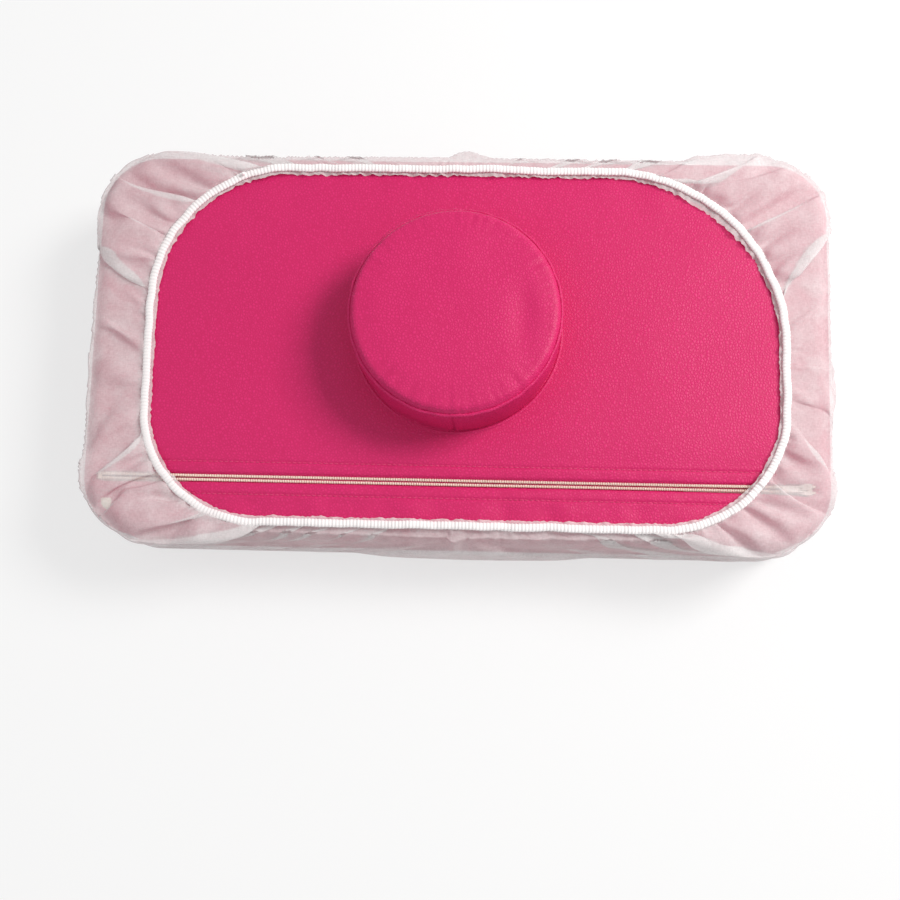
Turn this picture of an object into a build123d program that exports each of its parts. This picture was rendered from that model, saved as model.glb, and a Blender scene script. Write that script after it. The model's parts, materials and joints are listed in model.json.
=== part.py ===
"""A face cradle cushion for a massage table, lying on its working face with its underside up.

A rectangular foam pillow in a sewn leather-cloth cover. A round leather-covered foam plug stands
on the underside and drops into the table's face hole. A coil zip runs along one long edge of the
underside, and a gathered disposable cloth cover is pulled over the working face.
"""

import os
from math import cos, radians, sin, sqrt

from build123d import *

os.makedirs("parts", exist_ok=True)

# Driving dimensions, in millimetres ------------------------------------------------------------

cushion_length = 600.0
cushion_width = 320.0
cushion_height = 75.0
cushion_corner = 48.0  # radius of the corners in plan
cushion_edge = 14.0  # rounding of the edges all round the two faces
leather = 1.2  # leather cloth
panel_wrap = 6.0  # a panel turns this far down the side before its seam
clearance = 0.3  # between soft pieces that press on each other

plug_radius = 82.5
plug_height = 50.0
plug_offset = 9.0  # from the middle of the cushion, away from the zip
plug_rim = 6.0  # rounding of the end panel at its rim
plug_welt = 1.1  # radius of the raised seam round the rim
plug_crown = 1.5  # rise of the end panel in its middle
base_seam_width = 2.2
base_seam_height = 1.8
base_seam_rounding = 1.0
base_tuck = 0.8  # the band is drawn in this far where the seam round its base holds it
band_seam_width = 2.4
band_seam_thickness = 0.5
band_seam_sink = 0.1  # below the band's outside
band_seam_play = 0.15

zip_inset = 46.0  # zip's centre line, from the front edge
zip_gap = 7.2  # between the two folded leather lips
zip_end_margin = 2.0  # slot's end, from where the edge starts to turn down
lip_fold = 11.0  # width of leather folded under along the slot
tape_width = 16.0
tape_thickness = 0.6
tape_gap = 3.0  # between the two tapes
relief_play = 1.0  # foam is cut back this far round the slot and the slider's path
coil_width = 5.6  # both coils, closed
coil_height = 2.2
coil_play = 0.2  # between the two closed coils
stop_length = 2.5
stop_height = 3.4
stop_rounding = 0.4
thread_width = 0.5
thread_depth = 0.4
thread_proud = 0.1
thread_inset = 13.0  # each stitch row, from the zip's centre line
thread_end = 4.0  # stitch row's end, from the slot's end

slider_length = 10.0
slider_width = 9.0
slider_tail = 6.6
slider_plate = 1.1
slider_corner = 1.0
slider_ride = 0.3  # under the upper plate
slider_under = 0.5  # over the lower plate
neck_length = 3.0
neck_width = 2.4
neck_setback = 1.0  # from the slider's wide end
bail_length = 6.0
bail_width = 1.6
bail_height = 2.2
bail_wall = 1.0
bail_top = 0.7
bail_setback = 1.0  # from the slider's middle, towards its narrow end
tab_length = 18.0
tab_width = 5.0
tab_corner = 1.0
tab_thickness = 1.0
tab_slot_length = 3.4
tab_slot_width = 2.4
tab_lift = 0.3  # over the slider's upper plate

cover_puff = 7.0  # loose cloth stands this far out from the cushion's sides
cover_wall = 0.8
cover_lift = 4.9  # loose cloth over the underside, above the leather
hem_width = 6.5
hem_web = 1.4  # overlock thread round the inside of the gathered edge
hem_skin = 0.8  # overlock thread over the gathered edge
hem_play = 0.2
elastic_width = 2.8
elastic_thickness = 0.8
margin_left = 54.0  # opening of the cover, from each edge of the cushion
margin_right = 42.0
margin_back = 18.0
margin_front = 14.0
opening_back_left = 110.0  # corner radii of the opening
opening_back_right = 140.0
opening_front_left = 90.0
opening_front_right = 95.0
knot_radius = 1.5
knot_angle = 112.0  # round the opening's back left corner, from +X

# Sizes worked out from them --------------------------------------------------------------------

bottom = cover_wall + clearance
top = bottom + cushion_height
skin = leather + clearance
face_seam = bottom + panel_wrap
back_seam = top - panel_wrap

zip_y = zip_inset - cushion_width / 2
slot_half = cushion_length / 2 - cushion_edge - zip_end_margin
gap_half = zip_gap / 2
tape_top = top - 2 * leather
tape_low = tape_top - tape_thickness
coil_top = tape_top + coil_height

stop_outer = slot_half - clearance
stop_inner = stop_outer - stop_length
slider_front = stop_inner - clearance
slider_back = slider_front - slider_length
slider_middle = (slider_front + slider_back) / 2
neck_middle = slider_front - neck_setback - neck_length / 2
upper_plate_low = top + slider_ride
upper_plate_top = upper_plate_low + slider_plate
lower_plate_top = tape_low - slider_under
lower_plate_low = lower_plate_top - slider_plate
pivot_x = slider_middle - bail_setback
pivot_z = upper_plate_top + tab_lift + tab_thickness / 2
slider_travel = slider_back + stop_inner - clearance
slider_highest = upper_plate_top + bail_height

cover_length = cushion_length + 2 * cover_puff
cover_width = cushion_width + 2 * cover_puff
cover_top = top + cover_lift + cover_wall
cover_corner = cushion_corner + cover_puff
cover_edge = cushion_edge + cover_wall + clearance
hem_low = top + clearance
slot_low = top + cover_lift - hem_play
slot_high = cover_top + hem_play
hem_top = slot_high + hem_skin
tunnel_top = slider_highest + clearance


def rounded_block(length, width, corner, low, high, edge):
    """A block rounded in plan, with the edges of its top and bottom rounded too."""
    with BuildPart() as block:
        with BuildSketch(Plane.XY.offset(low)):
            RectangleRounded(length, width, corner)
        extrude(amount=high - low)
        rims = block.edges().group_by(Axis.Z)
        fillet(rims[0] + rims[-1], edge)
    return block.part


def write(piece, name):
    """Labels a finished piece and writes it under its own name."""
    piece.part.label = name
    export_step(piece.part, f"parts/{name}.step")
    print(name, round(piece.part.volume, 1))


# Foam block: one cut slab, relieved along the zip for the tapes and the slider ------------------

foam_body = rounded_block(
    cushion_length - 2 * skin,
    cushion_width - 2 * skin,
    cushion_corner - skin,
    bottom + skin,
    top - skin,
    cushion_edge - skin,
)
tape_relief = tape_low - clearance
slider_relief = lower_plate_low - clearance
tape_reach = tape_gap / 2 + tape_width + clearance
slider_reach = slider_width / 2 + relief_play

with BuildPart() as foam_block:
    add(foam_body)
    with Locations((0, zip_y, tape_relief)):
        Box(
            2 * (slot_half + relief_play),
            2 * tape_reach,
            cushion_height,
            align=(Align.CENTER, Align.CENTER, Align.MIN),
            mode=Mode.SUBTRACT,
        )
    with Locations((0, zip_y, slider_relief)):
        Box(
            2 * (slot_half + relief_play),
            2 * slider_reach,
            cushion_height,
            align=(Align.CENTER, Align.CENTER, Align.MIN),
            mode=Mode.SUBTRACT,
        )
write(foam_block, "foam_block")

# Leather cover of the cushion: face panel, two side bands, back panel and zip strip -------------

leather_outside = rounded_block(
    cushion_length, cushion_width, cushion_corner, bottom, top, cushion_edge
)
leather_inside = rounded_block(
    cushion_length - 2 * leather,
    cushion_width - 2 * leather,
    cushion_corner - leather,
    bottom + leather,
    top - leather,
    cushion_edge - leather,
)
with BuildPart() as leather_shell:
    add(leather_outside)
    add(leather_inside, mode=Mode.SUBTRACT)

with BuildPart() as face_panel:
    add(leather_shell.part)
    split(bisect_by=Plane.XY.offset(face_seam), keep=Keep.BOTTOM)
write(face_panel, "face_panel")

for side, kept in (("front", Keep.TOP), ("back", Keep.BOTTOM)):
    with BuildPart() as side_band:
        add(leather_shell.part)
        split(bisect_by=Plane.XY.offset(face_seam), keep=Keep.TOP)
        split(bisect_by=Plane.XY.offset(back_seam), keep=Keep.BOTTOM)
        split(bisect_by=Plane.XZ, keep=kept)
    write(side_band, f"side_band_{side}")

# The plane of the zip faces -Y, so its top side is the strip and its bottom side the back panel.
zip_plane = Plane.XZ.offset(-zip_y)
for name, kept, side in (
    ("back_panel", Keep.BOTTOM, 1),
    ("zip_strip_panel", Keep.TOP, -1),
):
    lip_y = zip_y + side * (gap_half + lip_fold / 2)
    row_y = zip_y + side * thread_inset
    with BuildPart() as panel:
        add(leather_shell.part)
        split(bisect_by=Plane.XY.offset(back_seam), keep=Keep.TOP)
        split(bisect_by=zip_plane, keep=kept)
        with Locations((0, lip_y, top - 1.5 * leather)):
            Box(2 * slot_half, lip_fold, leather)
        with Locations((0, zip_y, top - leather)):
            Box(2 * slot_half, zip_gap, 4 * leather, mode=Mode.SUBTRACT)
        with Locations((0, row_y, top - thread_depth + thread_proud)):
            Box(
                2 * (slot_half - thread_end),
                thread_width,
                leather,
                align=(Align.CENTER, Align.CENTER, Align.MIN),
                mode=Mode.SUBTRACT,
            )
        if side > 0:
            with Locations((0, plug_offset, top)):
                Cylinder(plug_radius + clearance, 4 * leather, mode=Mode.SUBTRACT)
    write(panel, name)

# Topstitching: one row of thread each side of the zip, pulled down into the leather -------------

for side, way in (("back", 1), ("front", -1)):
    with BuildPart() as stitch_row:
        with Locations((0, zip_y + way * thread_inset, top + thread_proud)):
            Box(
                2 * (slot_half - thread_end),
                thread_width,
                thread_depth,
                align=(Align.CENTER, Align.CENTER, Align.MAX),
            )
    write(stitch_row, f"stitch_row_{side}")

# Zip: two woven tapes, two nylon coils and the stops at both ends --------------------------------

for side, way in (("back", 1), ("front", -1)):
    with BuildPart() as tape:
        with Locations((0, zip_y + way * (tape_gap + tape_width) / 2, tape_low)):
            Box(
                2 * slot_half,
                tape_width,
                tape_thickness,
                align=(Align.CENTER, Align.CENTER, Align.MIN),
            )
    write(tape, f"zip_tape_{side}")

    inner, outer = coil_play / 2, coil_width / 2
    parted_inner = neck_width / 2 + clearance
    parted_outer = gap_half - clearance
    parting = neck_middle - neck_length / 2 - clearance
    with BuildPart() as coil:
        with BuildSketch(Plane.XY.offset(tape_top)):
            with BuildLine():
                Polyline(
                    (-stop_inner, zip_y + way * inner),
                    (parting - neck_length, zip_y + way * inner),
                    (parting, zip_y + way * parted_inner),
                    (stop_inner, zip_y + way * parted_inner),
                    (stop_inner, zip_y + way * parted_outer),
                    (parting, zip_y + way * parted_outer),
                    (parting - neck_length, zip_y + way * outer),
                    (-stop_inner, zip_y + way * outer),
                    close=True,
                )
            make_face()
        extrude(amount=coil_height)
    write(coil, f"zip_coil_{side}")

with BuildPart() as bottom_stop:
    with Locations((-(stop_inner + stop_outer) / 2, zip_y, tape_top)):
        Box(
            stop_length,
            coil_width,
            stop_height,
            align=(Align.CENTER, Align.CENTER, Align.MIN),
        )
    fillet(bottom_stop.edges().group_by(Axis.Z)[-1], stop_rounding)
write(bottom_stop, "zip_bottom_stop")

stop_width = parted_outer - parted_inner
with BuildPart() as top_stops:
    for way in (1, -1):
        stop_y = zip_y + way * (parted_inner + parted_outer) / 2
        with Locations(((stop_inner + stop_outer) / 2, stop_y, tape_top)):
            Box(
                stop_length,
                stop_width,
                stop_height,
                align=(Align.CENTER, Align.CENTER, Align.MIN),
            )
    fillet(top_stops.edges().group_by(Axis.Z)[-1], stop_rounding)
write(top_stops, "zip_top_stops")

# Zip slider: two plates on a neck between the coils, with a bail for the pull tab ----------------

with BuildPart() as slider_body:
    for low in (lower_plate_low, upper_plate_low):
        with BuildSketch(Plane.XY.offset(low)):
            with BuildLine():
                Polyline(
                    (slider_back, zip_y - slider_tail / 2),
                    (slider_middle, zip_y - slider_width / 2),
                    (slider_front, zip_y - slider_width / 2),
                    (slider_front, zip_y + slider_width / 2),
                    (slider_middle, zip_y + slider_width / 2),
                    (slider_back, zip_y + slider_tail / 2),
                    close=True,
                )
            make_face()
        extrude(amount=slider_plate)
    fillet(slider_body.edges().filter_by(Axis.Z), slider_corner)
    with Locations((neck_middle, zip_y, lower_plate_top)):
        Box(
            neck_length,
            neck_width,
            upper_plate_low - lower_plate_top,
            align=(Align.CENTER, Align.CENTER, Align.MIN),
        )
    with Locations((pivot_x, zip_y, upper_plate_top)):
        Box(
            bail_length,
            bail_width,
            bail_height,
            align=(Align.CENTER, Align.CENTER, Align.MIN),
        )
        Box(
            bail_length - 2 * bail_wall,
            2 * bail_width,
            bail_height - bail_top,
            align=(Align.CENTER, Align.CENTER, Align.MIN),
            mode=Mode.SUBTRACT,
        )
write(slider_body, "zip_slider_body")

# Pull tab: a pressed strip whose end bar lies in the bail ----------------------------------------

bar_radius = tab_thickness / 2
with BuildPart() as pull_tab:
    with BuildSketch(Plane.XY.offset(pivot_z - bar_radius)):
        with Locations((pivot_x + bar_radius - tab_length / 2, zip_y)):
            RectangleRounded(tab_length, tab_width, tab_corner)
        with Locations((pivot_x - bar_radius - tab_slot_length / 2, zip_y)):
            Rectangle(tab_slot_length, tab_slot_width, mode=Mode.SUBTRACT)
    extrude(amount=tab_thickness)
write(pull_tab, "zip_pull_tab")

# Plug: foam core, leather band with its seam, end panel and the raised seam round the rim --------

plug_top = top + plug_height
panel_reach = plug_radius - 2 * plug_welt - clearance
turn_z = plug_top - plug_crown - plug_rim
band_top = turn_z - plug_welt - clearance
core_radius = plug_radius - leather - base_tuck - clearance
plug_seat = top + base_seam_height + 2 * clearance
core_top = plug_top - plug_crown - skin

with BuildPart() as plug_foam:
    with BuildSketch(Plane.XY.offset(top - skin)):
        with Locations((0, plug_offset)):
            Circle(core_radius)
    extrude(amount=band_top - top + skin)
    with BuildSketch(Plane.XY.offset(band_top)):
        with Locations((0, plug_offset)):
            Circle(panel_reach - skin)
    extrude(amount=core_top - band_top)
    fillet(plug_foam.edges().group_by(Axis.Z)[-1], plug_rim - leather)
write(plug_foam, "plug_foam")

seam_y = plug_offset - plug_radius
with BuildPart() as plug_band:
    for wall_radius, low, high in (
        (plug_radius - base_tuck, top - leather, plug_seat),
        (plug_radius, plug_seat, band_top),
    ):
        with BuildSketch(Plane.XY.offset(low)):
            with Locations((0, plug_offset)):
                Circle(wall_radius)
                Circle(wall_radius - leather, mode=Mode.SUBTRACT)
        extrude(amount=high - low)
    with Locations((0, seam_y, plug_seat)):
        Box(
            band_seam_width + 2 * band_seam_play,
            2 * (band_seam_sink + band_seam_thickness + band_seam_play),
            plug_height,
            align=(Align.CENTER, Align.CENTER, Align.MIN),
            mode=Mode.SUBTRACT,
        )
write(plug_band, "plug_band")

with BuildPart() as band_seam:
    with Locations((0, seam_y + band_seam_sink, plug_seat)):
        Box(
            band_seam_width,
            band_seam_thickness,
            band_top - plug_seat,
            align=(Align.CENTER, Align.MIN, Align.MIN),
        )
write(band_seam, "plug_band_seam")

# The end panel's section, from its raised middle out to the rim, where it turns down.
shoulder_r = panel_reach - plug_rim
diagonal = plug_rim * sin(radians(45))
inner_diagonal = (plug_rim - leather) * sin(radians(45))
crown_radius = (shoulder_r**2 + plug_crown**2) / (2 * plug_crown)
half_sag = crown_radius - sqrt(crown_radius**2 - (shoulder_r / 2) ** 2)
with BuildPart() as end_panel:
    with BuildSketch(Plane.XZ.offset(-plug_offset)):
        with BuildLine():
            ThreePointArc(
                (0, plug_top),
                (shoulder_r / 2, plug_top - half_sag),
                (shoulder_r, plug_top - plug_crown),
            )
            ThreePointArc(
                (shoulder_r, plug_top - plug_crown),
                (shoulder_r + diagonal, turn_z + diagonal),
                (panel_reach, turn_z),
            )
            Line((panel_reach, turn_z), (panel_reach - leather, turn_z))
            ThreePointArc(
                (panel_reach - leather, turn_z),
                (shoulder_r + inner_diagonal, turn_z + inner_diagonal),
                (shoulder_r, plug_top - plug_crown - leather),
            )
            ThreePointArc(
                (shoulder_r, plug_top - plug_crown - leather),
                (shoulder_r / 2, plug_top - half_sag - leather),
                (0, plug_top - leather),
            )
            Line((0, plug_top - leather), (0, plug_top))
        make_face()
    revolve(axis=Axis((0, plug_offset, 0), (0, 0, 1)))
write(end_panel, "plug_end_panel")

with BuildPart() as rim_seam:
    with Locations((0, plug_offset, turn_z)):
        Torus(plug_radius - plug_welt, plug_welt)
write(rim_seam, "plug_rim_seam")

with BuildPart() as base_seam:
    with BuildSketch(Plane.XY.offset(top)):
        with Locations((0, plug_offset)):
            Circle(plug_radius + clearance + base_seam_width)
            Circle(plug_radius + clearance, mode=Mode.SUBTRACT)
    extrude(amount=base_seam_height)
    fillet(base_seam.edges().group_by(Axis.Z)[-1].sort_by(SortBy.RADIUS)[-1], base_seam_rounding)
write(base_seam, "plug_base_seam")

# Disposable cover: thin cloth over the face and sides, its edge gathered round the underside ------

left = -cushion_length / 2 + margin_left
right = cushion_length / 2 - margin_right
front = -cushion_width / 2 + margin_front
back = cushion_width / 2 - margin_back

with BuildSketch() as opening:
    with BuildLine():
        Polyline((left, front), (right, front), (right, back), (left, back), close=True)
    make_face()
    for corner, radius in (
        ((left, back), opening_back_left),
        ((right, back), opening_back_right),
        ((left, front), opening_front_left),
        ((right, front), opening_front_right),
    ):
        nearest = opening.vertices().sort_by_distance((*corner, 0))[0]
        fillet(nearest, radius)


def opening_block(grow, low, high):
    """The opening's outline, grown outwards and raised between two heights."""
    with BuildPart() as block:
        with BuildSketch(Plane.XY.offset(low)):
            add(opening.sketch)
            if grow > 0:
                offset(amount=grow)
        extrude(amount=high - low)
    return block.part


cover_outside = rounded_block(
    cover_length, cover_width, cover_corner, 0, cover_top, cover_edge
)
cover_inside = rounded_block(
    cover_length - 2 * cover_wall,
    cover_width - 2 * cover_wall,
    cover_corner - cover_wall,
    cover_wall,
    cover_top - cover_wall,
    cover_edge - cover_wall,
)
cloth_edge = hem_web + elastic_width + 2 * hem_play
cloth_opening = opening_block(cloth_edge, top, hem_top)
with BuildPart() as nonwoven_cover:
    add(cover_outside)
    add(cover_inside, mode=Mode.SUBTRACT)
    add(cloth_opening, mode=Mode.SUBTRACT)
write(nonwoven_cover, "nonwoven_cover")

# Gathered edge: elastic laid against the cloth's edge and wrapped in overlock thread --------------

elastic_low = (slot_low + slot_high - elastic_thickness) / 2
elastic_outside = opening_block(
    hem_web + hem_play + elastic_width, elastic_low, elastic_low + elastic_thickness
)
elastic_inside = opening_block(hem_web + hem_play, elastic_low, elastic_low + elastic_thickness)
with BuildPart() as hem_elastic:
    add(elastic_outside)
    add(elastic_inside, mode=Mode.SUBTRACT)
write(hem_elastic, "hem_elastic")

hem_outside = opening_block(hem_width, hem_low, hem_top)
hem_inside = opening_block(0, hem_low, hem_top)
slot_outside = opening_block(2 * hem_width, slot_low, slot_high)
slot_inside = opening_block(hem_web, slot_low, slot_high)
with BuildPart() as hem_slot:
    add(slot_outside)
    add(slot_inside, mode=Mode.SUBTRACT)

with BuildPart() as hem_overlock:
    add(hem_outside)
    add(hem_inside, mode=Mode.SUBTRACT)
    add(hem_slot.part, mode=Mode.SUBTRACT)
    with Locations((0, zip_y, tunnel_top)):
        Box(
            2 * cushion_length,
            2 * slider_reach,
            cushion_height,
            align=(Align.CENTER, Align.CENTER, Align.MAX),
            mode=Mode.SUBTRACT,
        )
write(hem_overlock, "hem_overlock")

knot_reach = opening_back_left + hem_width / 2
knot_x = left + opening_back_left + knot_reach * cos(radians(knot_angle))
knot_y = back - opening_back_left + knot_reach * sin(radians(knot_angle))
with BuildPart() as hem_knot:
    with Locations((knot_x, knot_y, hem_top + knot_radius + hem_play)):
        Sphere(knot_radius)
write(hem_knot, "hem_knot")

print("slider travel", slider_travel, "pivot", pivot_x, zip_y, pivot_z)
print("plug's straight wall from", plug_seat, "to", band_top)
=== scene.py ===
import json
import math

import bmesh
import bpy
from mathutils import Matrix, Vector, noise


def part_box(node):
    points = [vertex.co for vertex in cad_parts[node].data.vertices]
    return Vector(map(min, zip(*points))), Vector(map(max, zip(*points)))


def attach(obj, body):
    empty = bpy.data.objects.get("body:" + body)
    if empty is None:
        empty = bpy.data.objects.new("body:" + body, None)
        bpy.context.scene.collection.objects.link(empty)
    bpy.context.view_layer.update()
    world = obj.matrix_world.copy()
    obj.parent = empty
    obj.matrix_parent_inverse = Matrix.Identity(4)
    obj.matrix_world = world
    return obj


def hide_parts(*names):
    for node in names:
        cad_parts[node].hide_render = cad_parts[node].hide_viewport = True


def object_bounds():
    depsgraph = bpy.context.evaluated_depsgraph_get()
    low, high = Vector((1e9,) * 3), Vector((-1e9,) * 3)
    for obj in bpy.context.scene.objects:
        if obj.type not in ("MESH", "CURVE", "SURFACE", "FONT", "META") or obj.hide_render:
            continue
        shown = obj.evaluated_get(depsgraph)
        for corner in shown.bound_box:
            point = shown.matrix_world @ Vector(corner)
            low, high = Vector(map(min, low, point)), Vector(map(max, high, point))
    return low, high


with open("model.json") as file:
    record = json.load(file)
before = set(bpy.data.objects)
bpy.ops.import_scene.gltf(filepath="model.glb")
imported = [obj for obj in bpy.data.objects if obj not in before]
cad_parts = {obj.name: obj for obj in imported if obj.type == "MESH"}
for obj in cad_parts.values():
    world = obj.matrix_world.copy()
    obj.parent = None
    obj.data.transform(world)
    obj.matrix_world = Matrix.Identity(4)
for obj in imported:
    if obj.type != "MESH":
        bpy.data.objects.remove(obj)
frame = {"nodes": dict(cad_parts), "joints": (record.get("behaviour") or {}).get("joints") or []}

cad_low, cad_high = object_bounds()

# Camera, floor and light: a lens looking steeply down on the underside from the zip's side, a
# plain pale floor, one soft lamp high on the right and a larger, weaker one opposite.

camera_data = bpy.data.cameras.new("camera")
camera_data.lens = 37.1
camera_data.shift_x = -0.03
camera_data.shift_y = 0.133
camera = bpy.data.objects.new("camera", camera_data)
camera.location = (0.0387, -0.2637, 0.7961)
camera.rotation_euler = (math.radians(6.44), math.radians(1.28), math.radians(1.48))
bpy.context.scene.collection.objects.link(camera)
bpy.context.scene.camera = camera
bpy.context.scene.view_settings.view_transform = "Standard"


class Socket:
    """A shader socket on which sums and products build Math nodes."""

    def __init__(self, tree, link):
        self.tree, self.link = tree, link

    def math(self, operation, *values):
        made = self.tree.nodes.new("ShaderNodeMath")
        made.operation = operation
        for k, value in enumerate(values):
            if isinstance(value, Socket):
                self.tree.links.new(value.link, made.inputs[k])
            else:
                made.inputs[k].default_value = value
        return Socket(self.tree, made.outputs[0])

    def __add__(self, other):
        return self.math("ADD", self, other)

    __radd__ = __add__

    def __mul__(self, other):
        return self.math("MULTIPLY", self, other)

    __rmul__ = __mul__

    def clamp(self):
        return self.math("MINIMUM", self.math("MAXIMUM", self, 0.0), 1.0)


class Finish:
    """A material under construction: its nodes are made by one method."""

    def __init__(self, name, roughness, **settings):
        self.material = bpy.data.materials.new(name)
        self.material.use_nodes = True
        self.tree = self.material.node_tree
        self.shader = self.tree.nodes["Principled BSDF"]
        self.shader.inputs["Roughness"].default_value = roughness
        for socket, value in settings.items():
            self.shader.inputs[socket.replace("_", " ")].default_value = value
        self.place = self.node("ShaderNodeTexCoord", out="Object")

    def node(self, kind, settings=None, out=0, **values):
        """A node with its settings and the values or links of its sockets."""
        made = self.tree.nodes.new(kind)
        for key, value in (settings or {}).items():
            setattr(made, key, value)
        for key, value in values.items():
            socket = made.inputs[key.replace("_", " ")]
            if isinstance(value, Socket):
                self.tree.links.new(value.link, socket)
            else:
                socket.default_value = value
        return Socket(self.tree, made.outputs[out])

    def noise(self, scale, detail=2.0, stretch=None):
        """Noise on the piece's own coordinates, in turns per metre."""
        place = self.place
        if stretch is not None:
            place = self.node("ShaderNodeMapping", Vector=place, Scale=stretch)
        return self.node("ShaderNodeTexNoise", Vector=place, Scale=scale, Detail=detail)

    def blend(self, factor, first, second):
        """A colour between two others."""
        made = self.tree.nodes.new("ShaderNodeMix")
        made.data_type = "RGBA"
        self.tree.links.new(factor.link, made.inputs["Factor"])
        for key, value in (("A", first), ("B", second)):
            socket = [s for s in made.inputs if s.name == key and s.type == "RGBA"][0]
            if isinstance(value, Socket):
                self.tree.links.new(value.link, socket)
            else:
                socket.default_value = (*value, 1.0)
        colours = [s for s in made.outputs if s.type == "RGBA"]
        return Socket(self.tree, colours[0])

    def feed(self, name, socket):
        """Links a socket to one of the shader's inputs."""
        self.tree.links.new(socket.link, self.shader.inputs[name])

    def bump(self, height, distance, strength):
        """Lets a height, times a distance in metres, tilt the surface."""
        bumped = self.node(
            "ShaderNodeBump", Height=height, Distance=distance, Strength=strength
        )
        self.feed("Normal", bumped)


def soft_lamp(name, place, target, size, power, colour):
    """A square area lamp at one place, facing a target."""
    data = bpy.data.lights.new(name, "AREA")
    data.size = size
    data.energy = power
    data.color = colour
    lamp = bpy.data.objects.new(name, data)
    lamp.location = place
    lamp.rotation_euler = (Vector(target) - Vector(place)).to_track_quat("-Z", "Y").to_euler()
    bpy.context.scene.collection.objects.link(lamp)


lamp_target = (0.0, 0.0, 0.05)
white = (1.0, 1.0, 1.0, 1.0)
soft_lamp("key_lamp", (1.55, 0.62, 1.55), lamp_target, 0.8, 44.0, (1.0, 0.985, 0.97))
soft_lamp("fill_lamp", (-0.9, -0.4, 1.3), lamp_target, 1.4, 2.5, (0.97, 0.98, 1.0))

# the room lights the object evenly, and the camera sees it as plain white
world = bpy.data.worlds.new("room")
world.use_nodes = True
room = world.node_tree
daylight = room.nodes["Background"]
daylight.inputs["Color"].default_value = white
daylight.inputs["Strength"].default_value = 0.50
backdrop = room.nodes.new("ShaderNodeBackground")
ray = room.nodes.new("ShaderNodeLightPath")
shown = room.nodes.new("ShaderNodeMixShader")
backdrop.inputs["Color"].default_value = white
room.links.new(ray.outputs["Is Camera Ray"], shown.inputs[0])
room.links.new(daylight.outputs[0], shown.inputs[1])
room.links.new(backdrop.outputs[0], shown.inputs[2])
room.links.new(shown.outputs[0], room.nodes["World Output"].inputs["Surface"])
bpy.context.scene.world = world

# the floor glows a little where it is seen, so that it stays pale and keeps its soft shadow
floor_glow = 0.62
floor_finish = Finish("floor", 0.9)
floor_finish.shader.inputs["Base Color"].default_value = (0.86, 0.86, 0.86, 1.0)
seen = floor_finish.node("ShaderNodeLightPath", out="Is Camera Ray")
for kind in ("Is Glossy Ray", "Is Transmission Ray"):
    seen = seen + floor_finish.node("ShaderNodeLightPath", out=kind)
glow = floor_finish.node("ShaderNodeEmission", Color=white, Strength=1.0)
paler = floor_finish.tree.nodes.new("ShaderNodeMixShader")
floor_finish.tree.links.new((seen.clamp() * floor_glow).link, paler.inputs[0])
floor_finish.tree.links.new(floor_finish.shader.outputs[0], paler.inputs[1])
floor_finish.tree.links.new(glow.link, paler.inputs[2])
floor_end = floor_finish.tree.nodes["Material Output"]
floor_finish.tree.links.new(paler.outputs[0], floor_end.inputs["Surface"])
floor_mesh = bmesh.new()
bmesh.ops.create_grid(floor_mesh, x_segments=1, y_segments=1, size=3.0)
floor_data = bpy.data.meshes.new("floor")
floor_mesh.to_mesh(floor_data)
floor_data.materials.append(floor_finish.material)
floor = bpy.data.objects.new("floor", floor_data)
floor_gap = 0.0005
floor.location.z = cad_low.z - floor_gap
bpy.context.scene.collection.objects.link(floor)

# Leather cover of the cushion: pink leather cloth over the foam, sewn from a face panel, side
# bands and two underside panels, which are folded under and topstitched along the zip.

band_low, band_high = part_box("side_band_front")
coil_low, coil_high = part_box("zip_coil_back")
row_low, row_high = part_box("stitch_row_back")
half_length = band_high.x
half_width = -band_low.y
leather_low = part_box("face_panel")[0].z
leather_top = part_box("back_panel")[1].z
stitch_offset = 0.013
zip_y = (row_low.y + row_high.y) / 2 - stitch_offset
corner_radius = 0.048
edge_radius = 0.014


def finished(name, shape, finish):
    """Makes a smooth piece from a shape, gives it its finish and lets it ride on the cushion."""
    data = bpy.data.meshes.new(name)
    shape.to_mesh(data)
    shape.free()
    data.materials.append(finish.material)
    data.shade_smooth()
    made = bpy.data.objects.new(name, data)
    bpy.context.scene.collection.objects.link(made)
    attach(made, "cushion")
    return made


def ripple(x, y, z=0.0):
    """Smooth noise between about -1 and 1."""
    return noise.noise(Vector((x, y, z)))


def step(value, low, high):
    """0 below low, 1 above high and smooth between."""
    t = min(max((value - low) / (high - low), 0.0), 1.0)
    return t * t * (3 - 2 * t)


leather = Finish("pink_leather", 0.5, Specular_IOR_Level=0.30)
warp = leather.noise(150.0, 2.0)
pebbles = leather.node("ShaderNodeTexVoronoi", {"feature": "DISTANCE_TO_EDGE"},
                       Vector=leather.place, Scale=430.0, Randomness=1.0)
# depth of the valleys between the pebbles, which drives the bump and also a painted shade in those
# hollows
valley_depth_and_shade = (pebbles * 2.6).clamp()
pores = leather.noise(1500.0, 3.0)
cloud = leather.noise(9.0, 3.0)
skin_tone = leather.blend(cloud, (0.66, 0.018, 0.140), (0.73, 0.026, 0.175))
# the valleys get a darker pink: painted shade in the hollows between the pebbles, on top of the bump
# that sinks them
leather.feed("Base Color", leather.blend(valley_depth_and_shade, (0.58, 0.014, 0.115), skin_tone))
leather.feed("Roughness", 0.42 + 0.16 * leather.noise(60.0, 3.0))
leather.bump(valley_depth_and_shade * 0.6 + pores * 0.25 + warp * 0.3, 0.00055, 0.55)


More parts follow.
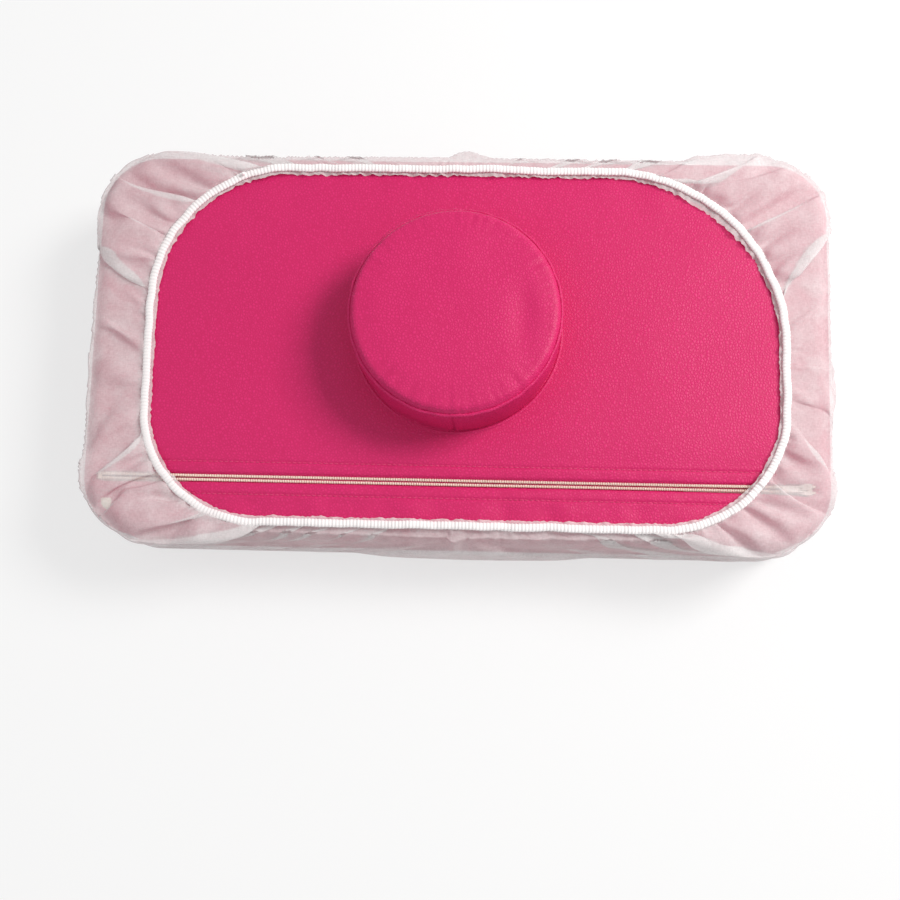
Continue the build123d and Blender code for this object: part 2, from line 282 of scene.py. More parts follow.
def underside(x, y):
    """How far the underside stands above its flat CAD face at a point, in metres."""
    along, across = x / half_length, y / half_width
    rise = 0.0035 * (1 - abs(along) ** 3) * (1 - across**4)
    # the seams of the zip draw it down
    v = y - zip_y
    rise -= 0.0022 * math.exp(-((v / 0.022) ** 2))
    # puckers between each lip and its stitch row
    strip = math.exp(-(((abs(v) - 0.009) / 0.006) ** 2))
    rise += 0.0007 * strip
    rise += 0.0006 * strip * ripple(x * 120, v * 40, 3.0)
    # the narrow front strip gathers into short waves
    front = step(-v, 0.010, 0.022)
    rise += front * 0.0022 * ripple(x * 42 + 5, y * 18, 7.0)
    rise -= front * 0.0016 * max(0.0, ripple(x * 85, y * 30, 11.0))
    # broad panel: slow waves, and upright ones towards its back edge
    rise += (1 - front) * 0.0010 * ripple(x * 13, y * 11, 2.0)
    rise += step(y, 0.085, 0.135) * 0.0012 * ripple(x * 34, y * 8, 5.0)
    # stitch rows pull the leather down
    rise -= 0.0009 * math.exp(-(((abs(v) - stitch_offset) / 0.0011) ** 2))
    # open slot over the coils
    if abs(x) < coil_high.x + 0.003:
        rise -= 0.0026 * (1 - step(abs(v), 0.0030, 0.0044))
    return rise


cushion_shape = bmesh.new()
bmesh.ops.create_cube(cushion_shape, size=1.0)
size = Vector((2 * half_length, 2 * half_width, leather_top - leather_low))
bmesh.ops.scale(cushion_shape, vec=size, verts=cushion_shape.verts)
middle = Vector((0, 0, (leather_low + leather_top) / 2))
bmesh.ops.translate(cushion_shape, vec=middle, verts=cushion_shape.verts)
upright = [e for e in cushion_shape.edges if e.verts[0].co.z * e.verts[1].co.z > 0
           and abs(e.verts[0].co.z - e.verts[1].co.z) > size.z / 2]
bmesh.ops.bevel(cushion_shape, geom=upright, offset=corner_radius, segments=14, profile=0.5,
                affect="EDGES", material=-1)
rims = [e for e in cushion_shape.edges if abs(e.verts[0].co.z - e.verts[1].co.z) < 1e-5]
bmesh.ops.bevel(cushion_shape, geom=rims, offset=edge_radius, segments=8, profile=0.5,
                affect="EDGES", material=-1)


def cut(shape, place, normal):
    """Cuts every face of a shape along a plane."""
    everything = shape.verts[:] + shape.edges[:] + shape.faces[:]
    bmesh.ops.bisect_plane(shape, geom=everything, dist=1e-6, plane_co=place, plane_no=normal)


along_cuts = 120
for k in range(1, along_cuts):
    cut(cushion_shape, (half_length * (2 * k / along_cuts - 1), 0, 0), (1, 0, 0))

# cuts along X: close together round the zip, wider on the broad panel and the narrow strip
fine_reach = 0.024
cut_places = [zip_y + 0.001 * k for k in range(-24, 25)]
cut_places += [zip_y + fine_reach + 0.0045 * k for k in range(1, 52)]
cut_places += [zip_y - fine_reach - 0.004 * k for k in range(1, 5)]
for y in cut_places:
    if abs(y) < half_width - edge_radius:
        cut(cushion_shape, (0, y, 0), (0, 1, 0))
seam_low, seam_high = band_low.z, band_high.z
beside_seam = 0.0012
for z in (seam_low - beside_seam, seam_low, seam_low + beside_seam,
          seam_high - beside_seam, seam_high, seam_high + beside_seam,
          0.3 * seam_low + 0.7 * seam_high, (seam_low + seam_high) / 2,
          0.7 * seam_low + 0.3 * seam_high):
    cut(cushion_shape, (0, 0, z), (0, 0, 1))
seam_depth = 0.0011
for vert in cushion_shape.verts:
    x, y, z = vert.co
    inner = (half_length - abs(x), half_width - abs(y))
    flat = step(min(inner), 0.004, edge_radius + 0.012)
    high = step(z, leather_top - 0.004, leather_top - 0.0001)
    vert.co.z += flat * high * underside(x, y)
    for seam in (seam_low, seam_high):
        if abs(z - seam) < 0.0004:
            pull = 1 - seam_depth / Vector((x, y)).length
            vert.co.x *= pull
            vert.co.y *= pull
    midway = step(z, leather_low, leather_low + 0.02) * (1 - step(z, leather_top - 0.02, leather_top))
    if midway > 0:
        outward = Vector((x, y, 0)).normalized()
        vert.co += outward * midway * 0.0016 * ripple(x * 16, y * 16, z * 30)
bmesh.ops.recalc_face_normals(cushion_shape, faces=cushion_shape.faces)
cushion = finished("leather_cover", cushion_shape, leather)
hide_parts("face_panel", "side_band_front", "side_band_back", "back_panel",
            "zip_strip_panel")

# Plug: a round foam core in a leather band, with an end panel sewn on at a raised welt. The band
# closes at an upright seam on the zip's side, and a sewn ring joins it to the underside.

plug_low, plug_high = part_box("plug_band")
end_low, end_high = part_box("plug_end_panel")
plug_middle = Vector(((plug_low.x + plug_high.x) / 2, (plug_low.y + plug_high.y) / 2, 0))
plug_radius = (plug_high.x - plug_low.x) / 2
welt_z = end_low.z
plug_top = end_high.z
around = 288


def spun(profile):
    """A ring or dish: an open profile of (radius, height) points turned round the plug's axis."""
    shape = bmesh.new()
    verts = [shape.verts.new((plug_middle.x + r, plug_middle.y, z)) for r, z in profile]
    edges = [shape.edges.new(pair) for pair in zip(verts, verts[1:])]
    bmesh.ops.spin(shape, geom=verts + edges, cent=plug_middle, axis=(0, 0, 1), steps=around,
                   angle=2 * math.pi, use_merge=True)
    bmesh.ops.remove_doubles(shape, verts=shape.verts, dist=1e-6)
    bmesh.ops.recalc_face_normals(shape, faces=shape.faces)
    return shape


band_profile = [(plug_radius - 0.003, leather_top - 0.004), (plug_radius, leather_top - 0.002)]
for k in range(1, 25):
    t = k / 24
    bulge = 0.0009 * math.sin(math.pi * t)
    z = leather_top + t * (welt_z - 0.0012 - leather_top)
    band_profile.append((plug_radius - 0.0012 + bulge, z))
band_profile.append((plug_radius - 0.0035, welt_z))
plug_shape = spun(band_profile)
for vert in plug_shape.verts:
    arm = vert.co - plug_middle
    turn = math.atan2(arm.y, arm.x)
    height = (vert.co.z - leather_top) / (welt_z - leather_top)
    wave = ripple(math.cos(turn) * 3.2, math.sin(turn) * 3.2, height * 2)
    fine = ripple(math.cos(turn) * 16, math.sin(turn) * 16, height * 1.5 + 4)
    near_ends = abs(2 * height - 1) ** 2
    push = 0.0011 * wave + 0.0007 * fine * near_ends
    # the upright seam is a groove between two low ridges
    off_seam = abs(turn + math.pi / 2)
    push -= 0.0013 * math.exp(-((off_seam / 0.012) ** 2))
    push += 0.0006 * math.exp(-(((off_seam - 0.034) / 0.016) ** 2))
    flat_arm = Vector((arm.x, arm.y, 0)).normalized()
    vert.co += flat_arm * push
band = finished("plug_side", plug_shape, leather)
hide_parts("plug_band", "plug_band_seam")

end_radius = plug_radius - 0.0021
end_turn = 0.0060
end_shoulder = end_radius - end_turn
end_profile = [(1e-5, plug_top)]
for k in range(1, 41):
    t = k / 40
    past = max(0.0, end_radius * t - end_shoulder)
    drop = 0.0015 * min(t * end_radius / end_shoulder, 1.0) ** 2
    drop += end_turn - math.sqrt(max(0.0, end_turn**2 - past**2))
    end_profile.append((end_radius * t, plug_top + 0.0003 - drop))
end_profile.append((end_radius + 0.0004, welt_z - 0.0004))
end_shape = spun(end_profile)
for vert in end_shape.verts:
    arm = vert.co - plug_middle
    reach = Vector((arm.x, arm.y)).length / end_radius
    turn = math.atan2(arm.y, arm.x)
    rim = step(reach, 0.72, 0.96)
    vert.co.z += 0.0009 * (1 + ripple(arm.x * 26, arm.y * 26, 2.5)) * (1 - rim)
    vert.co.z += 0.0006 * rim * (0.6 + ripple(math.cos(turn) * 15, math.sin(turn) * 15, 8.0))
    dent = math.exp(-(((arm.x - 0.052) / 0.010) ** 2) - ((arm.y + 0.006) / 0.026) ** 2)
    vert.co.z -= 0.0016 * dent
end = finished("plug_end", end_shape, leather)
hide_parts("plug_end_panel")


def ring(radius, height, wide, tall):
    """A welt: a closed oval section turned round the plug's axis."""
    section = []
    for k in range(13):
        turn = 2 * math.pi * k / 12
        section.append((radius + wide * math.cos(turn), height + tall * math.sin(turn)))
    return spun(section)


welt_shape = ring(plug_radius - 0.0016, welt_z + 0.0002, 0.0014, 0.0015)
for vert in welt_shape.verts:
    arm = vert.co - plug_middle
    turn = math.atan2(arm.y, arm.x)
    vert.co.z += 0.0005 * ripple(math.cos(turn) * 11, math.sin(turn) * 11, 1.0)
    vert.co += Vector((arm.x, arm.y, 0)).normalized() * 0.0006 * ripple(
        math.cos(turn) * 9, math.sin(turn) * 9, 6.0)
welt = finished("plug_rim_welt", welt_shape, leather)
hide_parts("plug_rim_seam")

base_low, base_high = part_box("plug_base_seam")
base_shape = ring((base_high.x - base_low.x) / 2 - 0.0016, leather_top + 0.0022, 0.0017, 0.0016)
base_ring = finished("plug_base_welt", base_shape, leather)
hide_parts("plug_base_seam")

# Topstitching: two rows of pink thread in short lockstitches along the zip, each stitch sunk
# into the leather at both ends.

thread = Finish("pink_thread", 0.6)
twist = thread.noise(4000.0, 1.0)
thread.feed("Base Color", thread.blend(twist, (0.60, 0.035, 0.135), (0.74, 0.07, 0.21)))
stitch_pitch = 0.0042


def repeated(shape, count, pitch):
    """Repeats a shape along X at a pitch, doubling the row until it is long enough."""
    have, each = 1, (len(shape.verts), len(shape.edges), len(shape.faces))
    while have < count:
        more = min(have, count - have)
        for kind in (shape.verts, shape.edges, shape.faces):
            kind.ensure_lookup_table()
        first = (shape.verts[:more * each[0]] + shape.edges[:more * each[1]]
                 + shape.faces[:more * each[2]])
        made = bmesh.ops.duplicate(shape, geom=first)["geom"]
        moved = [g for g in made if isinstance(g, bmesh.types.BMVert)]
        bmesh.ops.translate(shape, vec=(pitch * have, 0, 0), verts=moved)
        have += more


for side, way in (("back", 1), ("front", -1)):
    row_shape = bmesh.new()
    y = zip_y + way * stitch_offset
    shaped = (Matrix.Translation((row_low.x + stitch_pitch / 2, y, 0))
              @ Matrix.Diagonal((0.0016, 0.00042, 0.0004, 1)))
    bmesh.ops.create_uvsphere(row_shape, u_segments=8, v_segments=6, radius=1.0,
                              matrix=shaped @ Matrix.Rotation(math.pi / 2, 4, "Y"))
    repeated(row_shape, int(2 * row_high.x / stitch_pitch), stitch_pitch)
    for vert in row_shape.verts:
        vert.co.z += leather_top + underside(vert.co.x, y) + 0.0003
    stitches = finished("topstitch_" + side, row_shape, thread)
    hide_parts("stitch_row_" + side)

# Zip: cream nylon coils on woven tapes. Every turn of each coil is one bent loop of filament,
# and the loops of the two sides mesh between each other.

nylon = Finish("cream_nylon", 0.42)
nylon.feed("Base Color", nylon.blend(nylon.noise(300.0), (0.90, 0.72, 0.60), (0.96, 0.82, 0.72)))
weave = Finish("zip_weave", 0.85)
ribs = weave.node("ShaderNodeTexWave", {"bands_direction": "X"}, out="Fac",
                  Vector=weave.place, Scale=900.0)
weave.feed("Base Color", weave.blend(ribs, (0.62, 0.40, 0.36), (0.78, 0.58, 0.52)))
weave.bump(ribs, 0.0002, 0.6)

coil_pitch = 0.00135
coil_z = (coil_low.z + coil_high.z) / 2 + 0.0005
for side, way in (("back", 1), ("front", -1)):
    turns = bmesh.new()
    first_x = coil_low.x + (0.5 + 0.25 * way) * coil_pitch
    shaped = (Matrix.Translation((first_x, zip_y + way * 0.00165, coil_z))
              @ Matrix.Diagonal((0.00058, 0.00128, 0.0011, 1)))
    bmesh.ops.create_uvsphere(turns, u_segments=8, v_segments=6, radius=1.0,
                              matrix=shaped @ Matrix.Rotation(math.pi / 2, 4, "X"))
    repeated(turns, int((coil_high.x - coil_low.x) / coil_pitch), coil_pitch)
    coil = finished("coil_" + side, turns, nylon)
    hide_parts("zip_coil_" + side)

# Pieces that keep their CAD shape: woven zip tapes sewn under the leather, moulded stops, the
# enamelled slider with its pull tab, and the foam of the cushion and the plug.

foam = Finish("foam", 0.9)
cells = foam.node("ShaderNodeTexVoronoi", Vector=foam.place, Scale=700.0)
foam.feed("Base Color", foam.blend(cells, (0.80, 0.74, 0.55), (0.90, 0.86, 0.70)))
foam.bump(cells, 0.0005, 0.7)
enamel = Finish("cream_enamel", 0.35, Coat_Weight=0.3)
enamel.feed("Base Color", enamel.blend(enamel.noise(250.0), (0.84, 0.70, 0.63), (0.90, 0.78, 0.72)))
for node, finish in (
    ("foam_block", foam), ("plug_foam", foam), ("zip_tape_back", weave),
    ("zip_tape_front", weave), ("zip_bottom_stop", nylon), ("zip_top_stops", nylon),
    ("zip_slider_body", enamel), ("zip_pull_tab", enamel),
):
    carried = frame["nodes"][node]
    carried.data.materials.clear()
    carried.data.materials.append(finish.material)

# Disposable cover: one sheet of thin, see-through non-woven cloth over the working face and the
# sides. Elastic draws its edge in on the underside, so the cloth lies in folds that run out
# from the opening. Blender's cloth solver gathers it from a flared skirt.

cover_low, cover_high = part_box("nonwoven_cover")
hem_low, hem_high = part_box("hem_overlock")
left, right, front, back = hem_low.x, hem_high.x, hem_low.y, hem_high.y
hem_width = 0.0065


def outline(low, high, radii, count):
    """Evenly spaced points round a rectangle with rounded corners, from the middle of its front,
    each with the way outwards. radii are front right, back right, back left and front left."""
    (x0, y0), (x1, y1) = low, high
    corners = ((x1, y0, -90), (x1, y1, 0), (x0, y1, 90), (x0, y0, 180))
    path = [Vector(((x0 + x1) / 2, y0))]
    for (x, y, start), r in zip(corners, radii):
        centre = Vector((x - math.copysign(r, x), y - math.copysign(r, y)))
        for k in range(49):
            turn = math.radians(start + 90 * k / 48)
            path.append(centre + r * Vector((math.cos(turn), math.sin(turn))))
    path.append(path[0].copy())
    lengths = [0.0]
    for a, b in zip(path, path[1:]):
        lengths.append(lengths[-1] + (b - a).length)
    points, at = [], 0
    for k in range(count):
        target = lengths[-1] * k / count
        while lengths[at + 1] < target:
            at += 1
        t = (target - lengths[at]) / (lengths[at + 1] - lengths[at])
        points.append(path[at].lerp(path[at + 1], t))
    ways = []
    for k in range(count):
        run = points[(k + 1) % count] - points[k - 1]
        ways.append(Vector((run.y, -run.x)).normalized())
    return points, ways


inner_radii = (0.095, 0.140, 0.110, 0.090)
opening_radii = tuple(r + hem_width for r in inner_radii)
lines, rows = 600, 34

# the sheet's lines are shared out round a wider outline, which gives the corners more of them
spread = 0.15
side_in = 0.0035
corner = 0.052
flat_points, flat_ways = outline(
    (cover_low.x + side_in - spread, cover_low.y + side_in - spread),
    (cover_high.x - side_in + spread, cover_high.y - side_in + spread), (corner + spread,) * 4, lines)
rim_points = [p - w * spread for p, w in zip(flat_points, flat_ways)]
dense = 4 * lines
elastic_points, elastic_ways = outline((left, front), (right, back), opening_radii, dense)

# where each line of the sheet meets the elastic: between evenly shared and straight inwards
inward_share = 0.22
edge_points, edge_ways, straight_in = [], [], []
for k, p in enumerate(rim_points):
    even = k * dense // lines
    near = min(range(dense), key=lambda n: (elastic_points[n] - p).length_squared)
    turned = (near - even + dense // 2) % dense - dense // 2
    at = round(even + inward_share * turned) % dense
    edge_points.append(elastic_points[at])
    edge_ways.append(elastic_ways[at])
    straight_in.append((elastic_points[near] - p).length)

# each line's length: up the side, round the edge and in to the elastic, with a little to spare
turn_radius = 0.0150
cover_rest = leather_top + 0.0022
low_edge = 0.012
side_run = cover_rest - turn_radius - low_edge
turn_run = turn_radius * math.pi / 2
under_hem = 0.0015
hem_lift = 0.0010
slant_share = 0.45
shortest_top = 0.006
spare = 1.05
lengths = []
for p, w, e, straight in zip(rim_points, flat_ways, edge_points, straight_in):
    slanted = (p - w * turn_radius - e).length
    least = straight - turn_radius
    across_top = least + slant_share * (slanted - least) + under_hem
    lengths.append(spare * (side_run + turn_run + max(across_top, shortest_top)))


def route(k, run):
    """The place on the cushion that lies a given run up one line from the lower edge."""
    p, w = rim_points[k], flat_ways[k]
    if run < side_run:
        return Vector((p.x, p.y, low_edge + run))
    if run < side_run + turn_run:
        phi = (run - side_run) / turn_radius
        flat = p - w * turn_radius * (1 - math.cos(phi))
        return Vector((flat.x, flat.y, low_edge + side_run + turn_radius * math.sin(phi)))
    t = (run - side_run - turn_run) / (lengths[k] - side_run - turn_run)
    flat = (p - w * turn_radius).lerp(edge_points[k] - edge_ways[k] * under_hem, t)
    return Vector((flat.x, flat.y, cover_rest + hem_lift))


# the simulation runs at ten times the size, which suits the solver's smallest distances: it
# starts from a flared skirt and draws the hem up and in to its place on the underside
scale_up = 10.0
flare = math.radians(58)
drawing_up, drawing_in, frames = 8, 28, 40


def skirt(k, j):
    """A point of the sheet before it is drawn in: a flared skirt with shallow waves."""
    run = lengths[k] * j / rows
    p = flat_points[k]
    wave = ripple(p.x * 45, p.y * 45, 1 + run * 3) + 0.4 * ripple(p.x * 110, p.y * 110, 2 + run * 5)
    flat = rim_points[k] + flat_ways[k] * (run * math.sin(flare) + 0.004 * wave * min(1, run / 0.05))
    return Vector((flat.x, flat.y, low_edge + run * math.cos(flare)))


def hem_path(k, moment):
    """Where the hem of one line is at a moment: swung up first, then drawn in over the edge."""
    rise = math.pi / 2 - flare + (flare - 0.05) * min(moment / drawing_up, 1.0)
    flat = rim_points[k] + flat_ways[k] * lengths[k] * math.cos(rise)
    raised = Vector((flat.x, flat.y, low_edge + lengths[k] * math.sin(rise)))
    t = step(moment, drawing_up, drawing_in)
    home = edge_points[k] - edge_ways[k] * under_hem
    at = raised.lerp(Vector((home.x, home.y, cover_rest + hem_lift)), t)
    at.z += 0.012 * math.sin(math.pi * t)
    return at


sheet_shape = bmesh.new()
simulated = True
grid = []
for j in range(rows + 1):
    if simulated:
        places = [skirt(k, j) * scale_up for k in range(lines)]
    else:
        places = [route(k, lengths[k] * j / rows) for k in range(lines)]
    grid.append([sheet_shape.verts.new(p) for p in places])
loops = [[sheet_shape.edges.new((row[k - 1], row[k])) for k in range(lines)] for row in grid]
for lower, upper in zip(loops, loops[1:]):
    bmesh.ops.bridge_loops(sheet_shape, edges=lower + upper)
sheet_data = bpy.data.meshes.new("sheet")
sheet_shape.to_mesh(sheet_data)
sheet_shape.free()

if simulated:
    skirt_object = bpy.data.objects.new("skirt", sheet_data)
    bpy.context.scene.collection.objects.link(skirt_object)
    skirt_object.shape_key_add(name="Basis")
    marks = [0, drawing_up / 3, drawing_up * 2 / 3, drawing_up]
    marks += [drawing_up + (drawing_in - drawing_up) * t for t in (0.25, 0.5, 0.75, 1.0)]
    for i in range(1, len(marks)):
        stage = skirt_object.shape_key_add(name="stage")
        for k in range(lines):
            stage.data[rows * lines + k].co = hem_path(k, marks[i]) * scale_up
        for value, mark in zip((0.0, 1.0, 0.0), marks[i - 1:i + 2]):
            stage.value = value
            stage.keyframe_insert("value", frame=1 + mark)
    action = sheet_data.shape_keys.animation_data.action
    for curve in action.fcurves:
        for point in curve.keyframe_points:
            point.interpolation = "LINEAR"
    held = skirt_object.vertex_groups.new(name="held")
    last = rows * lines
    held.add([*range(lines), *range(last, last + lines)], 1.0, "REPLACE")

    # the rounded block that the cloth is drawn over: the cushion, a little smaller
    form_shape = bmesh.new()
    bmesh.ops.create_cube(form_shape, size=scale_up)
    form_size = Vector((2 * half_length - 0.003, 2 * half_width - 0.003, leather_top - 0.0016))
    bmesh.ops.scale(form_shape, vec=form_size, verts=form_shape.verts)
    form_middle = Vector((0, 0, leather_top / 2)) * scale_up
    bmesh.ops.translate(form_shape, vec=form_middle, verts=form_shape.verts)
    form_corners = [e for e in form_shape.edges if abs(e.verts[0].co.z - e.verts[1].co.z) > 0.1]
    bmesh.ops.bevel(form_shape, geom=form_corners, offset=corner_radius * scale_up, segments=10,
                    profile=0.5, affect="EDGES", material=-1)
    form_rims = [e for e in form_shape.edges if abs(e.verts[0].co.z - e.verts[1].co.z) < 1e-4]
    bmesh.ops.bevel(form_shape, geom=form_rims, offset=0.013 * scale_up, segments=5,
                    profile=0.5, affect="EDGES", material=-1)
    bmesh.ops.recalc_face_normals(form_shape, faces=form_shape.faces)
    form_data = bpy.data.meshes.new("form")
    form_shape.to_mesh(form_data)
    form_shape.free()
    form = bpy.data.objects.new("form", form_data)
    bpy.context.scene.collection.objects.link(form)
    form.modifiers.new("form", "COLLISION")
    form.collision.thickness_outer = 0.005
    form.collision.cloth_friction = 5

    solver = skirt_object.modifiers.new("solver", "CLOTH")
    solver.settings.quality = 5
    solver.settings.mass = 0.005
    solver.settings.air_damping = 1.5
    solver.settings.tension_stiffness = 40
    solver.settings.compression_stiffness = 40
    solver.settings.shear_stiffness = 10
    solver.settings.bending_stiffness = 10
    solver.settings.vertex_group_mass = "held"
    solver.collision_settings.distance_min = 0.012
    solver.point_cache.frame_start = 1
    solver.point_cache.frame_end = frames
    for frame_number in range(1, frames + 1):
        bpy.context.scene.frame_set(frame_number)
    settled = skirt_object.evaluated_get(bpy.context.evaluated_depsgraph_get())
    sheet_data = bpy.data.meshes.new_from_object(settled)
    sheet_data.transform(Matrix.Scale(1 / scale_up, 4))
    bpy.data.objects.remove(skirt_object)
    bpy.data.objects.remove(form)
    bpy.data.actions.remove(action)
    bpy.context.scene.frame_set(1)

# the settled cloth: evened out, kept out of the opening and from standing too far off the
# cushion, closed under the working face, then doubled in fineness and pleated at the hem
sheet_shape = bmesh.new()
sheet_shape.from_mesh(sheet_data)
sheet_shape.verts.ensure_lookup_table()
free = [v for v in sheet_shape.verts if lines <= v.index < rows * lines]
if simulated:
    for again in range(4):
        bmesh.ops.smooth_vert(sheet_shape, verts=free, factor=0.5, use_axis_x=True,
                              use_axis_y=True, use_axis_z=True)
run_layer = sheet_shape.verts.layers.float.new("run")
hem_x = sheet_shape.verts.layers.float.new("hem_x")
hem_y = sheet_shape.verts.layers.float.new("hem_y")
slider_low, slider_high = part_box("zip_slider_body")
tab_low, tab_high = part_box("zip_pull_tab")
joints = {joint["name"]: joint for joint in frame["joints"]}
slide, hinge = joints["zip_slide"], joints["tab_hinge"]
slider_top = max(slider_high.z, tab_high.z) + 0.0014
# from the tab's end as it lies to its end as it lies turned over, at each end of the zip
swing_low, swing_high = tab_low.x, 2 * hinge["pos_m"][0] - tab_low.x


def off_cushion(place, gap):
    """A point of the cloth, moved out to at least a gap from the leather's rounded block and
    from the zip's slider and pull tab where they rest at either end of the zip."""
    for shift in slide["range_m"]:
        x, y = place.x + shift, place.y
        beside = Vector((max(swing_low - x, x - swing_high, 0.0),
                         max(slider_low.y - y, y - slider_high.y, 0.0))).length
        cleared = leather_top + (slider_top - leather_top) * (1 - step(beside, 0.002, 0.018))
        if leather_top - 0.004 < place.z < cleared:
            place.z = cleared
    inner = Vector((min(max(place.x, corner_radius - half_length), half_length - corner_radius),
                    min(max(place.y, corner_radius - half_width), half_width - corner_radius)))
    arm = place.xy - inner
    out = arm.length - corner_radius + edge_radius
    up = place.z - leather_top + edge_radius
    if out > 0 and up > 0:
        stand = math.hypot(out, up) - edge_radius
        if stand < gap:
            grow = (edge_radius + gap) / math.hypot(out, up)
            out, up = out * grow, up * grow
    elif out > up:
        out = max(out, edge_radius + gap)
    else:
        up = max(up, edge_radius + gap + max(0.0, underside(place.x, place.y)))
    flat = inner + arm.normalized() * (out + corner_radius - edge_radius) if out > 0 else place.xy
    return Vector((flat.x, flat.y, up + leather_top - edge_radius))


top_reach = 0.009
side_reach = 0.007
side_free = 0.002
coarse_gap, fine_gap = 0.0018, 0.0014
for vert in sheet_shape.verts:
    j, k = divmod(vert.index, lines)
    vert[run_layer] = lengths[k] * (1 - j / rows)
    vert[hem_x], vert[hem_y] = edge_points[k]
    if vert.co.z > cover_rest:
        over = vert.co.z - cover_rest
        vert.co.z = cover_rest + top_reach * math.tanh(over / top_reach)
    inner = Vector((min(max(vert.co.x, corner - half_length), half_length - corner),
                    min(max(vert.co.y, corner - half_width), half_width - corner)))
    arm = vert.co.xy - inner
    stand = arm.length - corner
    if stand > side_free:
        kept = side_free + side_reach * math.tanh((stand - side_free) / side_reach)
        vert.co.xy = inner + arm.normalized() * (corner + kept)
    inward = -under_hem - (vert.co.xy - edge_points[k]).dot(edge_ways[k])
    if inward > 0:
        vert.co.xy += edge_ways[k] * inward
    vert.co = off_cushion(vert.co, coarse_gap)


def drawn_rows(shape, loop, edges, places_of_rows):
    """Draws a closed loop of edges out into further rows, and puts each row in its places."""
    for places in places_of_rows:
        made = bmesh.ops.extrude_edge_only(shape, edges=edges)["geom"]
        new = {g for g in made if isinstance(g, bmesh.types.BMVert)}
        grown = {}
        for vert in new:
            for edge in vert.link_edges:
                other = edge.other_vert(vert)
                if other not in new:
                    grown[other] = vert
        loop = [grown[v] for v in loop]
        for vert, place in zip(loop, places):
            vert.co = place
        edges = [g for g in made if isinstance(g, bmesh.types.BMEdge)
                 and g.verts[0] in new and g.verts[1] in new]
    return loop


bottom = sheet_shape.verts[:lines]
edges = [e for e in sheet_shape.edges if e.verts[0].index < lines and e.verts[1].index < lines]
closing = []
foot_turns = [math.radians(15 * k) for k in range(1, 7)]
foot_radius = 0.0135
floor_rest = 0.0003
foot = [(foot_radius * (1 - math.cos(t)), low_edge * (1 - math.sin(t)) + floor_rest)
        for t in foot_turns]
for shrink, height in foot + [(0.035, floor_rest), (0.080, floor_rest)]:
    flats = [p - w * shrink for p, w in zip(rim_points, flat_ways)]
    closing.append([Vector((f.x, f.y, height)) for f in flats])
loop = drawn_rows(sheet_shape, bottom, edges, closing)
for vert in loop:
    vert.co.y *= 0.05
sheet_shape.faces.new(loop)
bmesh.ops.triangulate(sheet_shape, faces=[f for f in sheet_shape.faces if len(f.verts) > 4])
bmesh.ops.recalc_face_normals(sheet_shape, faces=sheet_shape.faces)
bpy.data.meshes.remove(sheet_data)
sheet_data = bpy.data.meshes.new("sheet")
sheet_shape.to_mesh(sheet_data)
sheet_shape.free()
coarse = bpy.data.objects.new("coarse", sheet_data)
bpy.context.scene.collection.objects.link(coarse)
finer = coarse.modifiers.new("finer", "SUBSURF")
finer.levels = finer.render_levels = 1
evened = coarse.evaluated_get(bpy.context.evaluated_depsgraph_get())
fine_data = bpy.data.meshes.new_from_object(evened)
bpy.data.objects.remove(coarse)
sheet_shape = bmesh.new()
sheet_shape.from_mesh(fine_data)
run_layer = sheet_shape.verts.layers.float["run"]
hem_x = sheet_shape.verts.layers.float["hem_x"]
hem_y = sheet_shape.verts.layers.float["hem_y"]
for vert in sheet_shape.verts:
    run = vert[run_layer]
    if vert.co.z > 0.03 and run < 0.04:
        x, y = vert[hem_x], vert[hem_y]
        pleat = 1 - 2.4 * abs(ripple(x * 170, y * 170, run * 12))
        vert.co.z += 0.0017 * pleat * math.exp(-run / 0.010)
    if vert.co.z > 0.015:
        vert.co = off_cushion(vert.co, fine_gap)

cloth = Finish("nonwoven_cloth", 0.8)
fibre = cloth.noise(900.0, 4.0, stretch=(1.0, 0.35, 1.0))
cross = cloth.noise(900.0, 4.0, stretch=(0.35, 1.0, 1.0))
blotch = cloth.noise(70.0, 4.0)
tone = fibre * 0.5 + cross * 0.5
cloth.feed("Base Color", cloth.blend(tone, (0.78, 0.74, 0.74), (0.92, 0.90, 0.90)))
cloth.feed("Alpha", (0.24 + 0.30 * tone + 0.30 * blotch).clamp())
cloth.bump(tone, 0.0002, 0.5)
cover = finished("cloth_cover", sheet_shape, cloth)
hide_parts("nonwoven_cover")

# Gathered edge: the cloth's rim folded round flat elastic and overlocked with white thread, with
# the cloth's trimmed edge standing out inside it as a small ruffle.

overlock = Finish("overlock_thread", 0.75)
strands = overlock.noise(1500.0, 2.0)
overlock.feed("Base Color", overlock.blend(strands, (0.86, 0.80, 0.80), (0.96, 0.93, 0.93)))
rib_steps = 5
hem_steps = rib_steps * 508
hem_points, hem_ways = outline(
    (left + hem_width, front + hem_width), (right - hem_width, back - hem_width),
    inner_radii, hem_steps)
hem_sides = 10


def hem_height(p):
    """How far the middle of the hem lies above the leather's flat face at a point."""
    rise = 0.0012 * abs(ripple(p.x * 75, p.y * 75, 8.0)) + 0.0012 * ripple(p.x * 20, p.y * 20)
    rise += 0.0030 * math.exp(-(((p.y - zip_y) / 0.012) ** 2))
    return 0.0034 + rise + underside(p.x, p.y) * 0.6


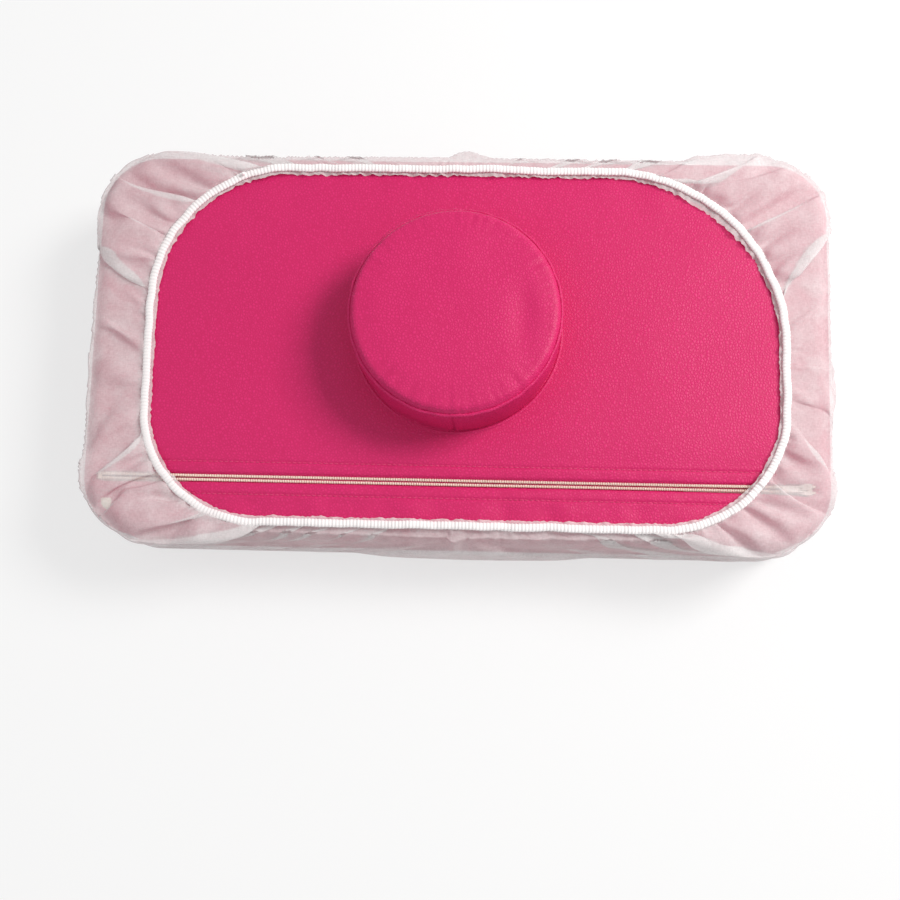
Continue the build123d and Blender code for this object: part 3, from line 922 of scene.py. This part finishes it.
hem_places = []
for m in range(hem_sides + 1):
    turn = 2 * math.pi * m / hem_sides
    hem_places.append([])
    for k in range(hem_steps):
        p, way = hem_points[k], hem_ways[k]
        ridge = 0.5 + 0.5 * math.cos(2 * math.pi * k / rib_steps)
        wander = 0.0010 * ripple(p.x * 60, p.y * 60, 4.0)
        wide = 0.0031 + 0.0003 * ridge
        tall = 0.0010 + 0.0006 * ridge
        flat = p + way * (0.0032 + wander + wide * math.cos(turn))
        height = leather_top + hem_height(p) + tall * math.sin(turn)
        hem_places[-1].append(Vector((flat.x, flat.y, height)))


def closed_row(shape, places):
    """The first row of a band: a closed loop of edges."""
    verts = [shape.verts.new(p) for p in places]
    return verts, [shape.edges.new((verts[k - 1], verts[k])) for k in range(len(verts))]


hem_shape = bmesh.new()
drawn_rows(hem_shape, *closed_row(hem_shape, hem_places[0]), hem_places[1:])
bmesh.ops.remove_doubles(hem_shape, verts=hem_shape.verts, dist=1e-6)
bmesh.ops.recalc_face_normals(hem_shape, faces=hem_shape.faces)
hem = finished("gathered_edge", hem_shape, overlock)
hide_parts("hem_overlock", "hem_elastic")

ruffle_places = []
for row in range(5):
    t = row / 4
    ruffle_places.append([])
    for k in range(0, hem_steps, 2):
        p, way = hem_points[k], hem_ways[k]
        curl = ripple(p.x * 210, p.y * 210, 3.0)
        swing = ripple(p.x * 90, p.y * 90, 12.0)
        # the trimmed edge stands out furthest at the back right-hand corner
        more = 0.0035 * math.exp(-((p - Vector((0.19, 0.10))).length / 0.045) ** 2)
        jag = ripple(p.x * 420, p.y * 420, 5.0)
        flat = p + way * (0.0014 - t * (0.0034 + 0.0014 * swing + 0.0009 * jag + more))
        z = leather_top + hem_height(p) - 0.0008 + 0.0012 * t * swing
        z += 0.0028 * t * curl - 0.0006 * t
        ruffle_places[-1].append(Vector((flat.x, flat.y, z)))
ruffle_shape = bmesh.new()
drawn_rows(ruffle_shape, *closed_row(ruffle_shape, ruffle_places[0]), ruffle_places[1:])
bmesh.ops.recalc_face_normals(ruffle_shape, faces=ruffle_shape.faces)
ruffle = finished("ruffled_rim", ruffle_shape, cloth)
knot = frame["nodes"]["hem_knot"]
knot.data.materials.clear()
knot.data.materials.append(overlock.material)
